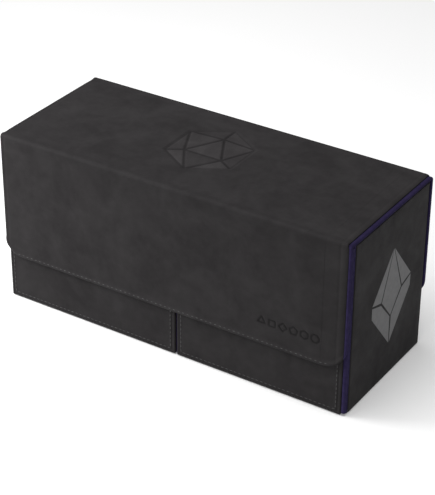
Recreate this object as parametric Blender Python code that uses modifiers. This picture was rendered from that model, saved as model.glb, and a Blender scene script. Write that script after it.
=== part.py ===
"""Two-tray carry case: a stiff leather-covered box with a folding cover.

Frame: +X runs along the case, -Y is its front and +Z is up. The origin is on the
surface that the case stands on, under the middle of the box. Lengths are in metres.

The body is a tray holder: floor, back, two ends and a partition, open at the front
and at the top. Two trays stand in it side by side, each with its own stitched front
leaf. The cover is a saddle: a lid with a flap in front and one behind, joined by
folds in the leather, and held by magnets.
"""

import math

import bmesh
import bpy
from mathutils import Matrix, Vector

MM = 0.001

# Driving dimensions -----------------------------------------------------------
CASE_HEIGHT = 107.0 * MM
COVER_WIDTH = 226.0 * MM
COVER_DEPTH = 92.0 * MM
FLAP_DROP = 77.5 * MM        # from the top of the lid to the lower edge of a flap
BODY_WIDTH = 224.8 * MM
SEAM_X = 4.4 * MM            # where the two trays meet; the left one is wider
SEAM_GAP = 1.2 * MM
SLIP = 0.3 * MM              # between pieces that move past each other
LID_CLEARANCE = 0.6 * MM     # between the closed lid and the walls under it
TRAY_SETBACK = 0.6 * MM      # of a tray's top edge below the walls
GLUE = 0.1 * MM              # between layers that are glued together

# Sheet thicknesses ------------------------------------------------------------
SKIN = 0.6 * MM              # leather cloth
COVER_BOARD = 1.2 * MM
COVER_LINING = 0.4 * MM
COVER_WALL = SKIN + COVER_BOARD + COVER_LINING + 2 * GLUE
LEAF_BOARD = 1.3 * MM
LEAF_LINING = 0.7 * MM
LEAF_WALL = SKIN + LEAF_BOARD + LEAF_LINING + 2 * GLUE
BODY_BOARD = 1.9 * MM
BODY_WALL = SKIN + BODY_BOARD + GLUE
TRAY_WALL = 1.6 * MM
TRAY_LINING = 0.5 * MM
PAD = 2.5 * MM
DIVIDER = 3.0 * MM

# Edges and fastenings ---------------------------------------------------------
BINDING = 1.6 * MM           # width of the bound edge at the end of a panel
BINDING_ROUND = 1.0 * MM
FLAP_CORNER = 10.0 * MM
BACK_CORNER = 1.4 * MM
BOARD_CORNER = 0.7 * MM
MAGNET_RADIUS = 5.0 * MM
MAGNET_THICKNESS = 1.0 * MM
MAGNET_HEIGHT = 44.0 * MM
FRONT_MAGNETS = (-85.0 * MM, -28.0 * MM, 28.0 * MM, 85.0 * MM)
REAR_MAGNETS = (-60.0 * MM, 60.0 * MM)
SCOOP_RADIUS = 12.0 * MM     # thumb scoop in the top of a divider
SCOOP_DEPTH = 8.0 * MM
DIVIDER_DROP = 8.5 * MM      # of a divider's top edge below the tray's
DISC_SEGMENTS = 24
ROUND_SEGMENTS = 4
QUARTER_TURN = math.pi / 2
SMOOTH_ANGLE = math.radians(35)
FACING = 0.9                 # least share of a normal along an axis, to count as facing it
AXIS_POINT_SIZE = 20.0 * MM

# Worked out from the above ----------------------------------------------------
COVER_Y = COVER_DEPTH / 2
FLAP_INSIDE = COVER_Y - COVER_WALL
BODY_Y = FLAP_INSIDE - SLIP
BODY_X = BODY_WIDTH / 2
LID_UNDERSIDE = CASE_HEIGHT - COVER_WALL
LID_HALF_DEPTH = FLAP_INSIDE - SLIP
FLAP_TOP = LID_UNDERSIDE - SLIP
FLAP_BOTTOM = CASE_HEIGHT - FLAP_DROP
PANEL_X = COVER_WIDTH / 2 - BINDING - GLUE
WALL_TOP = LID_UNDERSIDE - LID_CLEARANCE
LEAF_BACK = -BODY_Y + LEAF_WALL
END_FRONT = LEAF_BACK + SLIP
BOARD_X = BODY_X - SKIN - GLUE
BOARD_FRONT = END_FRONT + SKIN
BACK_INSIDE = BODY_Y - BODY_WALL
FLOOR_TOP = BODY_WALL
PARTITION = TRAY_WALL
TRAY_TOP = WALL_TOP - TRAY_SETBACK
DIVIDER_TOP = TRAY_TOP - DIVIDER_DROP
# A fold unrolls about an axis set in from the outer faces by this much, so that
# the flat length of the leather equals its length round the corner, which is a
# quarter circle at the middle of the leather.
FOLD_RADIUS = COVER_WALL
FOLD_INSET = FOLD_RADIUS - QUARTER_TURN / 2 * (FOLD_RADIUS - SKIN / 2)

X, Y, Z = 0, 1, 2


def clear_scene():
    for item in list(bpy.data.objects):
        bpy.data.objects.remove(item, do_unlink=True)


def new_collection(name):
    made = bpy.data.collections.new(name)
    bpy.context.scene.collection.children.link(made)
    return made


def new_finish(name, colour, roughness, metallic=0.0):
    made = bpy.data.materials.new(name)
    made.use_nodes = True
    shader = made.node_tree.nodes["Principled BSDF"]
    shader.inputs["Base Color"].default_value = (*colour, 1.0)
    shader.inputs["Roughness"].default_value = roughness
    shader.inputs["Metallic"].default_value = metallic
    return made


clear_scene()
PARTS = new_collection("two_tray_carry_case")
CUTTERS = new_collection("cutters")
LEATHER = new_finish("black_leather_cloth", (0.035, 0.033, 0.034), 0.62)
PURPLE = new_finish("purple_microfibre", (0.026, 0.018, 0.062), 0.9)
BOARD = new_finish("grey_board", (0.25, 0.23, 0.2), 0.85)
TRAY_BOARD = new_finish("black_board", (0.03, 0.03, 0.032), 0.7)
FOAM = new_finish("purple_foam", (0.05, 0.035, 0.11), 0.95)
STEEL = new_finish("nickel_magnet", (0.6, 0.6, 0.62), 0.3, 1.0)


def add_object(name, mesh_source, place, finish, group=None):
    """Put a bmesh into a new object whose origin is at place."""
    mesh = bpy.data.meshes.new(name)
    mesh_source.to_mesh(mesh)
    mesh_source.free()
    made = bpy.data.objects.new(name, mesh)
    made.location = place
    (group or PARTS).objects.link(made)
    if finish:
        mesh.materials.append(finish)
    return made


def box_between(low, high):
    """A box as a bmesh about its own centre, with that centre's place."""
    low, high = Vector(map(min, low, high)), Vector(map(max, low, high))
    shape = bmesh.new()
    bmesh.ops.create_cube(shape, size=1.0, matrix=Matrix.Diagonal((*(high - low), 1.0)))
    return shape, (low + high) / 2


def slab(name, low, high, finish):
    shape, place = box_between(low, high)
    return add_object(name, shape, place, finish)


def round_edges(target, along, corner, radius):
    """Round a slab's edges along one axis where corner(vertex place) is true."""
    shape = bmesh.new()
    shape.from_mesh(target.data)
    edges = []
    for edge in shape.edges:
        run = edge.verts[0].co - edge.verts[1].co
        middle = (edge.verts[0].co + edge.verts[1].co) / 2
        if abs(run[along]) > FACING * run.length and corner(middle):
            edges.append(edge)
    bmesh.ops.bevel(shape, geom=edges, offset=radius, segments=ROUND_SEGMENTS,
                    profile=0.5, affect="EDGES")
    shape.to_mesh(target.data)
    shape.free()
    return target


def cylinder(name, place, axis, radius, length, finish, group=None):
    turn = Matrix.Rotation(QUARTER_TURN, 4, "Y" if axis == X else "X")
    shape = bmesh.new()
    bmesh.ops.create_cone(shape, cap_ends=True, segments=DISC_SEGMENTS, radius1=radius,
                          radius2=radius, depth=length, matrix=turn)
    made = add_object(name, shape, place, finish, group)
    made.data.shade_smooth()
    made.data.set_sharp_from_angle(angle=SMOOTH_ANGLE)
    return made


def cut(target, cutter):
    cutter.hide_render = True
    cutter.display_type = "WIRE"
    hole = target.modifiers.new("cut_" + cutter.name, "BOOLEAN")
    hole.operation = "DIFFERENCE"
    hole.solver = "EXACT"
    hole.object = cutter


def open_shell(name, low, high, wall, finish, removed):
    """A box without the faces that removed(normal) picks, thickened inwards."""
    shape, place = box_between(low, high)
    gone = [face for face in shape.faces if removed(face.normal)]
    bmesh.ops.delete(shape, geom=gone, context="FACES")
    made = add_object(name, shape, place, finish)
    thicken(made, wall)
    return made


def thicken(target, wall):
    skin = target.modifiers.new("wall", "SOLIDIFY")
    skin.thickness = wall
    skin.offset = -1.0
    skin.use_even_offset = True


def joint_point(name, place):
    """An empty on a joint's axis, which the pieces of a moving body hang from."""
    empty = bpy.data.objects.new(name, None)
    empty.location = place
    empty.empty_display_size = AXIS_POINT_SIZE
    PARTS.objects.link(empty)
    return empty


def attach(parent, pieces):
    for piece in pieces:
        piece.parent = parent
        piece.matrix_parent_inverse = Matrix.Translation(-parent.location)


def magnet(name, x, y):
    place = Vector((x, y, MAGNET_HEIGHT))
    return cylinder(name, place, Y, MAGNET_RADIUS, MAGNET_THICKNESS, STEEL)


def pocket(board, x, y):
    """A through hole in a board for one magnet."""
    place = Vector((x, y, MAGNET_HEIGHT))
    cutter = cylinder("pocket_" + board.name, place, Y, MAGNET_RADIUS + SLIP, 4 * LEAF_BOARD,
                      None, CUTTERS)
    cut(board, cutter)


def make_flap(name, side, magnet_places):
    """A flap of the cover: side is -1 in front and +1 behind."""
    layers = (("skin", COVER_Y - SKIN, COVER_Y, LEATHER),
              ("board", FLAP_INSIDE + COVER_LINING + GLUE, COVER_Y - SKIN - GLUE, BOARD),
              ("lining", FLAP_INSIDE, FLAP_INSIDE + COVER_LINING, PURPLE))
    pieces = []
    for layer, near, far, finish in layers:
        sheet = slab(f"{name}_{layer}", (-PANEL_X, side * near, FLAP_BOTTOM),
                     (PANEL_X, side * far, FLAP_TOP), finish)
        round_edges(sheet, Y, lambda middle: middle.z < 0, FLAP_CORNER)
        pieces.append(sheet)
    board = pieces[1]
    board_y = side * (FLAP_INSIDE + COVER_LINING + GLUE + COVER_BOARD / 2)
    for number, x in enumerate(magnet_places, 1):
        pocket(board, x, board_y)
        pieces.append(magnet(f"{name}_magnet_{number}", x, board_y))
    for end, word in ((-1, "left"), (1, "right")):
        strip = slab(f"{name}_binding_{word}",
                     (end * (COVER_WIDTH / 2 - BINDING), side * FLAP_INSIDE, FLAP_BOTTOM + FLAP_CORNER),
                     (end * COVER_WIDTH / 2, side * COVER_Y, FLAP_TOP), PURPLE)
        pieces.append(round_edges(strip, Z, lambda middle: middle.x * end > 0, BINDING_ROUND))
    return pieces


def make_lid():
    layers = (("skin", CASE_HEIGHT - SKIN, CASE_HEIGHT, LEATHER),
              ("board", LID_UNDERSIDE + COVER_LINING + GLUE, CASE_HEIGHT - SKIN - GLUE, BOARD),
              ("lining", LID_UNDERSIDE, LID_UNDERSIDE + COVER_LINING, PURPLE))
    pieces = [slab(f"lid_{layer}", (-PANEL_X, -LID_HALF_DEPTH, low),
                   (PANEL_X, LID_HALF_DEPTH, high), finish)
              for layer, low, high, finish in layers]
    for end, word in ((-1, "left"), (1, "right")):
        strip = slab(f"lid_binding_{word}",
                     (end * (COVER_WIDTH / 2 - BINDING), -LID_HALF_DEPTH, LID_UNDERSIDE),
                     (end * COVER_WIDTH / 2, LID_HALF_DEPTH, CASE_HEIGHT), PURPLE)
        pieces.append(round_edges(strip, Y, lambda middle: middle.x * end > 0, BINDING_ROUND))
    return pieces


def make_fold(name, side):
    """The bent leather between the lid and a flap: a quarter of an open pipe."""
    shape = bmesh.new()
    bmesh.ops.create_cone(shape, cap_ends=False, segments=DISC_SEGMENTS, radius1=FOLD_RADIUS,
                          radius2=FOLD_RADIUS, depth=2 * PANEL_X,
                          matrix=Matrix.Rotation(QUARTER_TURN, 4, "Y"))
    outside = [face for face in shape.faces
               if face.calc_center_median().y * side < 0 or face.calc_center_median().z < 0]
    bmesh.ops.delete(shape, geom=outside, context="FACES")
    bmesh.ops.recalc_face_normals(shape, faces=shape.faces)
    if shape.faces[0].normal.dot(shape.faces[0].calc_center_median()) < 0:
        bmesh.ops.reverse_faces(shape, faces=shape.faces)
    place = Vector((0, side * FLAP_INSIDE, LID_UNDERSIDE))
    fold = add_object(name, shape, place, LEATHER)
    thicken(fold, SKIN)
    fold.data.shade_smooth()
    return fold


def make_body():
    """The tray holder, standing on its leather-covered floor."""
    def at_back(middle):
        return middle.y > 0

    base_skin = slab("base_skin", (-BODY_X, END_FRONT, 0), (BODY_X, BODY_Y, SKIN), LEATHER)
    round_edges(base_skin, Z, at_back, BACK_CORNER)
    base_board = slab("base_board", (-BOARD_X, BOARD_FRONT, SKIN + GLUE),
                      (BOARD_X, BODY_Y - SKIN - GLUE, FLOOR_TOP), BOARD)
    round_edges(base_board, Z, at_back, BOARD_CORNER)
    back = slab("back_board", (-BOARD_X, BACK_INSIDE, FLOOR_TOP + GLUE),
                (BOARD_X, BODY_Y - SKIN - GLUE, WALL_TOP), TRAY_BOARD)
    round_edges(back, Z, at_back, BOARD_CORNER)
    pieces = [base_skin, base_board, back]
    for end, word in ((-1, "left"), (1, "right")):
        pieces.append(slab(f"{word}_end_board",
                           (end * (BOARD_X - BODY_BOARD), BOARD_FRONT, FLOOR_TOP + GLUE),
                           (end * BOARD_X, BACK_INSIDE - GLUE, WALL_TOP), TRAY_BOARD))
    pieces.append(slab("partition", (SEAM_X - PARTITION / 2, BOARD_FRONT, FLOOR_TOP + GLUE),
                       (SEAM_X + PARTITION / 2, BACK_INSIDE - GLUE, TRAY_TOP), TRAY_BOARD))
    pieces.append(make_body_wrap())
    keeper_y = BACK_INSIDE + BODY_BOARD / 2
    for number, x in enumerate(REAR_MAGNETS, 1):
        pocket(back, x, keeper_y)
        pieces.append(magnet(f"back_keeper_{number}", x, keeper_y))
    return pieces


def make_body_wrap():
    """One leather sheet round the left end, the back and the right end."""
    shape, place = box_between((-BODY_X, END_FRONT, SKIN + GLUE), (BODY_X, BODY_Y, WALL_TOP))
    corners = [edge for edge in shape.edges
               if all(vert.co.y > 0 for vert in edge.verts)
               and abs(edge.verts[0].co.z - edge.verts[1].co.z) > WALL_TOP / 2]
    bmesh.ops.bevel(shape, geom=corners, offset=BACK_CORNER, segments=ROUND_SEGMENTS,
                    profile=0.5, affect="EDGES")
    gone = [face for face in shape.faces if abs(face.normal.z) > FACING or face.normal.y < -FACING]
    bmesh.ops.delete(shape, geom=gone, context="FACES")
    wrap = add_object("body_wrap", shape, place, LEATHER)
    thicken(wrap, SKIN)
    return wrap


def make_tray(word, low_x, high_x, magnet_places):
    """A tray between two body walls, with its front leaf, lining, pad and divider."""
    end = -1 if word == "left" else 1
    outer_leaf, seam_leaf = end * BODY_X, SEAM_X + end * SEAM_GAP / 2
    leaf_low, leaf_high = SLIP, WALL_TOP - GLUE
    skin_y = -BODY_Y + SKIN
    board_y = skin_y + GLUE + LEAF_BOARD
    panel_end = outer_leaf - end * (BINDING + GLUE)
    leaf = [slab(f"{word}_leaf_skin", (panel_end, -BODY_Y, leaf_low),
                 (seam_leaf, skin_y, leaf_high), LEATHER),
            slab(f"{word}_leaf_board", (panel_end, skin_y + GLUE, leaf_low),
                 (seam_leaf, board_y, leaf_high), BOARD),
            slab(f"{word}_leaf_lining", (panel_end, board_y + GLUE, leaf_low),
                 (seam_leaf, LEAF_BACK, leaf_high), PURPLE)]
    binding = slab(f"{word}_leaf_binding", (outer_leaf, -BODY_Y, leaf_low),
                   (outer_leaf - end * BINDING, LEAF_BACK, leaf_high), PURPLE)
    leaf.append(round_edges(binding, Z, lambda middle: middle.x * end > 0, BINDING_ROUND))
    for number, x in enumerate(magnet_places, 1):
        pocket(leaf[1], x, board_y - LEAF_BOARD / 2)
        leaf.append(magnet(f"{word}_leaf_keeper_{number}", x, board_y - LEAF_BOARD / 2))

    def is_top(normal):
        return normal.z > FACING

    low = Vector((low_x, LEAF_BACK + SLIP, FLOOR_TOP + SLIP))
    high = Vector((high_x, BACK_INSIDE - SLIP, TRAY_TOP))
    tray = open_shell(f"{word}_tray_box", low, high, TRAY_WALL, TRAY_BOARD, is_top)
    inset = Vector((1, 1, 0)) * (TRAY_WALL + GLUE)
    lift = Vector((0, 0, TRAY_WALL + GLUE))
    lining = open_shell(f"{word}_tray_lining", low + inset + lift, high - inset, TRAY_LINING,
                        PURPLE, is_top)
    margin = inset + Vector((1, 1, 0)) * (TRAY_LINING + SLIP)
    pad_low = low.z + TRAY_WALL + TRAY_LINING + 2 * GLUE
    pad = slab(f"{word}_tray_pad", (low.x + margin.x, low.y + margin.y, pad_low),
               (high.x - margin.x, high.y - margin.y, pad_low + PAD), FOAM)
    middle_x = (low_x + high_x) / 2
    divider = slab(f"{word}_divider", (middle_x - DIVIDER / 2, low.y + margin.y, pad_low + PAD + SLIP),
                   (middle_x + DIVIDER / 2, high.y - margin.y, DIVIDER_TOP), FOAM)
    scoop_place = Vector((middle_x, (low.y + high.y) / 2, DIVIDER_TOP + SCOOP_RADIUS - SCOOP_DEPTH))
    cut(divider, cylinder(f"scoop_{word}", scoop_place, X, SCOOP_RADIUS, 3 * DIVIDER, None, CUTTERS))
    return [*leaf, tray, lining, pad], divider


def main():
    make_body()
    fold_y = COVER_Y - FOLD_INSET
    fold_z = CASE_HEIGHT - FOLD_INSET
    lift_point = joint_point("cover_lift_axis", Vector((0, COVER_Y, FLAP_BOTTOM)))
    lid_point = joint_point("lid_hinge_axis", Vector((0, fold_y, fold_z)))
    flap_point = joint_point("flap_fold_axis", Vector((0, -fold_y, fold_z)))
    attach(lift_point, [*make_flap("rear_flap", 1, REAR_MAGNETS), make_fold("rear_fold", 1), lid_point])
    attach(lid_point, [*make_lid(), make_fold("front_fold", -1), flap_point])
    attach(flap_point, make_flap("front_flap", -1, FRONT_MAGNETS))

    wall_inside = BOARD_X - BODY_BOARD - SLIP
    partition_side = PARTITION / 2 + SLIP
    spans = (("left", -wall_inside, SEAM_X - partition_side, FRONT_MAGNETS[:2]),
             ("right", SEAM_X + partition_side, wall_inside, FRONT_MAGNETS[2:]))
    for word, low_x, high_x, magnet_places in spans:
        pieces, divider = make_tray(word, low_x, high_x, magnet_places)
        middle_x = (low_x + high_x) / 2
        tray_point = joint_point(f"{word}_tray_lift_axis", Vector((middle_x, 0, FLOOR_TOP)))
        divider_point = joint_point(f"{word}_divider_slide_axis", Vector((middle_x, 0, FLOOR_TOP + PAD)))
        attach(tray_point, [*pieces, divider_point])
        attach(divider_point, [divider])


main()
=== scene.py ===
"""Looks of the two-tray carry case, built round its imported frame.

Every piece is worked out from the frame's own boxes, in metres: +X runs along the
case, -Y is the front and +Z is up. Sections of bent sheets are drawn in the YZ plane
and swept along X; panels are rounded slabs swept along their longer side.
"""

from __future__ import annotations

import logging
import math
from dataclasses import dataclass, field
from enum import Enum
from typing import Callable, Iterable, Sequence

import bpy
import numpy as np
from mathutils import Matrix, Vector

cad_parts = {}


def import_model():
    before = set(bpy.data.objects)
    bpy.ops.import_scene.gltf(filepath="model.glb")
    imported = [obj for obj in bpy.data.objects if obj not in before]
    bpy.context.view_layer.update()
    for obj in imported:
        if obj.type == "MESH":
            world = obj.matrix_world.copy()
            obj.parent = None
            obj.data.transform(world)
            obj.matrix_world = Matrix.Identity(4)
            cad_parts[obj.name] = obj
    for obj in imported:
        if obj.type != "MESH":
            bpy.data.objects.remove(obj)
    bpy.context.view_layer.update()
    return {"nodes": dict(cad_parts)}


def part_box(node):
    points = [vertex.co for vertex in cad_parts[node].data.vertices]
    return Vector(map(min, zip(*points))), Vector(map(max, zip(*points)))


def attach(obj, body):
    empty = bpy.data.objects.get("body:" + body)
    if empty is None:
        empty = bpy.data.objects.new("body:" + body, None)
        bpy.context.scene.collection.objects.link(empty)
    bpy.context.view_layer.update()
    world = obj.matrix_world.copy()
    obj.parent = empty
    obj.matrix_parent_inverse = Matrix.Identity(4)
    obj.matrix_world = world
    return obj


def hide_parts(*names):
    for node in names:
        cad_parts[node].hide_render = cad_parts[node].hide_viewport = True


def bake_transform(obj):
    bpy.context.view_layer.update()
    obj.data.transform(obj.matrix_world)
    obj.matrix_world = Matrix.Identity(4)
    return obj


MM = 0.001
WHITE = (1.0, 1.0, 1.0, 1.0)
GAIN = "gain"
Array = np.ndarray
LOG = logging.getLogger("carry_case")


# Frame sizes -------------------------------------------------------------------


@dataclass(frozen=True)
class Fit:
    """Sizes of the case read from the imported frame, in metres."""

    end_x: float
    leather_x: float
    top_z: float
    under_z: float
    outer_y: float
    inner_y: float
    flap_low_z: float
    body_x: float

    @classmethod
    def read(cls) -> "Fit":
        """Return the sizes taken from the boxes of the cover's and the body's nodes.

        Returns:
            The sizes.
        """
        binding_low, binding_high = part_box("lid_binding_right")
        flap_low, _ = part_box("front_flap_skin")
        _, lining_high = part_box("front_flap_lining")
        _, wrap_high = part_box("body_wrap")
        return cls(end_x=binding_high.x, leather_x=binding_low.x, top_z=binding_high.z,
                   under_z=binding_low.z, outer_y=-flap_low.y, inner_y=-lining_high.y,
                   flap_low_z=flap_low.z, body_x=wrap_high.x)

    @property
    def wall(self) -> float:
        """Return the thickness of a cover panel."""
        return self.outer_y - self.inner_y


class Side(Enum):
    """Which way along Y a flap lies from the lid."""

    FRONT = -1
    REAR = 1


# Mesh building -----------------------------------------------------------------


def ring_quads(rings: int, points: int) -> Array:
    """Return quads that join each closed ring of points to the next ring.

    Args:
        rings: how many rings there are.
        points: how many points each ring has.

    Returns:
        An integer array with one row of four vertex numbers for each quad.
    """
    ring, point = np.meshgrid(np.arange(rings - 1), np.arange(points), indexing="ij")
    after = (point + 1) % points
    corners = (ring * points + point, ring * points + after,
               (ring + 1) * points + after, (ring + 1) * points + point)
    return np.stack(corners, axis=-1).reshape(-1, 4)


def signed_volume(points: Array, quads: Array, caps: Sequence[Array]) -> float:
    """Return the volume inside a closed mesh: the sum over its triangles of a . (b x c) / 6.

    Args:
        points: vertex places, one row each.
        quads: vertex numbers of the quads.
        caps: vertex numbers of the flat faces that close the ends.

    Returns:
        The volume, negative if the faces point inwards.
    """
    triangles = [quads[:, [0, 1, 2]], quads[:, [0, 2, 3]]]
    for cap in caps:
        fan = np.stack((np.full(len(cap) - 2, cap[0]), cap[1:-1], cap[2:]), axis=-1)
        triangles.append(fan)
    a, b, c = (points[np.concatenate(triangles)[:, corner]] for corner in range(3))
    return float(np.einsum("ij,ij->i", a, np.cross(b, c)).sum() / 6.0)


def make_object(name: str, points: Array, faces: list, finish: bpy.types.Material,
                sharp: float = 0.7) -> bpy.types.Object:
    """Return a new smooth-shaded object at the origin with the given mesh.

    Args:
        name: the piece's name.
        points: vertex places, one row each.
        faces: lists of vertex numbers.
        finish: the piece's material.
        sharp: edges that turn by more than this angle, in radians, stay sharp.

    Returns:
        The object, linked to the scene.
    """
    mesh = bpy.data.meshes.new(name)
    mesh.from_pydata(points.tolist(), [], faces)
    mesh.validate()
    mesh.shade_smooth()
    mesh.set_sharp_from_angle(angle=sharp)
    mesh.materials.append(finish)
    made = bpy.data.objects.new(name, mesh)
    bpy.context.scene.collection.objects.link(made)
    return made


def loft(name: str, rings: Array, finish: bpy.types.Material) -> bpy.types.Object:
    """Return a closed piece through a row of closed rings, with a flat cap at each end.

    Args:
        name: the piece's name.
        rings: places, shaped (ring, point, 3); each ring closes on itself.
        finish: the piece's material.

    Returns:
        The piece, its faces turned outwards.
    """
    count, around = rings.shape[:2]
    points = rings.reshape(-1, 3)
    quads = ring_quads(count, around)
    caps = [np.arange(around)[::-1], np.arange(around) + (count - 1) * around]
    if signed_volume(points, quads, caps) < 0:
        quads, caps = quads[:, ::-1], [cap[::-1] for cap in caps]
    faces = quads.tolist() + [cap.tolist() for cap in caps]
    return make_object(name, points, faces, finish)


def set_gain(piece: bpy.types.Object, gain: Array) -> None:
    """Give each vertex of a piece its gain in lightness."""
    piece.data.attributes.new(GAIN, "FLOAT", "POINT").data.foreach_set("value", gain.ravel())


def spaced(stops: Sequence[float], steps: Sequence[float]) -> Array:
    """Return ascending values through the stops, with the given largest step between them.

    Args:
        stops: ascending values, all of which are kept.
        steps: the largest spacing between each stop and the next.

    Returns:
        The values, from the first stop to the last.
    """
    runs = [np.linspace(low, high, max(1, math.ceil((high - low) / step)), endpoint=False)
            for low, high, step in zip(stops[:-1], stops[1:], steps)]
    return np.concatenate([*runs, [stops[-1]]])


def arc(centre: tuple[float, float], radius: float, start: float, end: float, count: int) -> Array:
    """Return points on a circle: centre + radius * (cos a, sin a), a from start to end in degrees."""
    angle = np.radians(np.linspace(start, end, count))
    return np.stack((centre[0] + radius * np.cos(angle), centre[1] + radius * np.sin(angle)), axis=-1)


def smooth_step(value: Array, low: float, high: float) -> Array:
    """Return 3t^2 - 2t^3 with t the clipped share of the way from low to high."""
    t = np.clip((value - low) / (high - low), 0.0, 1.0)
    return t * t * (3.0 - 2.0 * t)


def segment_distance(x: Array, y: Array, start: Array, end: Array) -> Array:
    """Return the distance from points to a segment, found at its nearest clipped share."""
    run = end - start
    share = np.clip(((x - start[0]) * run[0] + (y - start[1]) * run[1]) / (run @ run), 0.0, 1.0)
    return np.hypot(x - start[0] - share * run[0], y - start[1] - share * run[1])


def stroke_depth(x: Array, y: Array, lines: Iterable[tuple[Array, Array]], width: float,
                 soft: float) -> Array:
    """Return how far strokes are pressed in, by the distance to the nearest line.

    Args:
        x, y: places in the drawing's plane.
        lines: pairs of end points.
        width: how wide a stroke is.
        soft: how wide its sloping edge is.

    Returns:
        1 on the strokes, 0 off them and a smooth step between.
    """
    nearest = np.full(np.broadcast(x, y).shape, np.inf)
    for start, end in lines:
        nearest = np.minimum(nearest, segment_distance(x, y, np.asarray(start), np.asarray(end)))
    return 1.0 - smooth_step(nearest, width / 2 - soft / 2, width / 2 + soft / 2)


def polygon(centre: tuple[float, float], radius: float, sides: int, turn: float = 90.0,
            stretch: float = 1.0) -> Array:
    """Return the corners of a regular polygon, first corner at turn degrees, stretched upwards."""
    angle = np.radians(turn + np.arange(sides) * 360.0 / sides)
    return np.stack((centre[0] + radius * np.cos(angle),
                     centre[1] + radius * stretch * np.sin(angle)), axis=-1)


def outline(corners: Array) -> list[tuple[Array, Array]]:
    """Return the sides of a polygon as pairs of end points."""
    return list(zip(corners, np.roll(corners, -1, axis=0)))


def depth_inside(x: Array, y: Array, corners: Array) -> Array:
    """Return how far points lie inside a leftward-turning polygon: the least distance to its sides.

    Args:
        x, y: places in the polygon's plane.
        corners: its corners, turning leftwards.

    Returns:
        The distance inside, negative outside.
    """
    depth = np.full(np.broadcast(x, y).shape, np.inf)
    for start, end in outline(corners):
        run = (end - start) / np.linalg.norm(end - start)
        depth = np.minimum(depth, (y - start[1]) * run[0] - (x - start[0]) * run[1])
    return depth


def twenty_sided_lines(rim: Array, face: Array) -> list:
    """Return the lines of a twenty-sided die seen face on.

    Its outline is a hexagon that holds a triangle, and each corner of the triangle
    joins the three corners of the hexagon nearest to it.
    """
    spokes = [(face[corner], rim[(2 * corner + step) % 6]) for corner in range(3) for step in (-1, 0, 1)]
    return outline(rim) + outline(face) + spokes


def twenty_sided_faces(rim: Array, face: Array) -> list[Array]:
    """Return the ten triangles between the lines of a twenty-sided die, turning leftwards.

    Args:
        rim: the outline's six corners.
        face: the inner triangle's three corners.

    Returns:
        Three corners for each triangle.
    """
    faces = [face]
    for corner in range(3):
        here, after = face[corner], face[(corner + 1) % 3]
        first, middle, last = (rim[(2 * corner + step) % 6] for step in (-1, 0, 1))
        faces += [np.array((here, first, middle)), np.array((here, middle, last)),
                  np.array((here, last, after))]
    return faces


# Shader building ---------------------------------------------------------------


class Wire:
    """An output of a shader node, on which arithmetic adds Math nodes."""

    def __init__(self, shop: "Finish", socket: bpy.types.NodeSocket) -> None:
        """Keep the socket and the finish that it belongs to."""
        self.shop = shop
        self.socket = socket

    def maths(self, operation: str, first: "Wire | float", second: "Wire | float") -> "Wire":
        """Return the result of one Math node."""
        return self.shop.node("ShaderNodeMath", {"operation": operation}, {0: first, 1: second})

    def __add__(self, other: "Wire | float") -> "Wire":
        """Return self + other."""
        return self.maths("ADD", self, other)

    __radd__ = __add__

    def __sub__(self, other: "Wire | float") -> "Wire":
        """Return self - other."""
        return self.maths("SUBTRACT", self, other)

    def __rsub__(self, other: "Wire | float") -> "Wire":
        """Return other - self."""
        return self.maths("SUBTRACT", other, self)

    def __mul__(self, other: "Wire | float") -> "Wire":
        """Return self * other."""
        return self.maths("MULTIPLY", self, other)

    __rmul__ = __mul__

    def between(self, low: float, high: float) -> "Wire":
        """Return self spread from the range low..high onto 0..1, clipped."""
        return self.shop.node("ShaderNodeMapRange", {"clamp": True},
                              {"Value": self, "From Min": low, "From Max": high})


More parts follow.
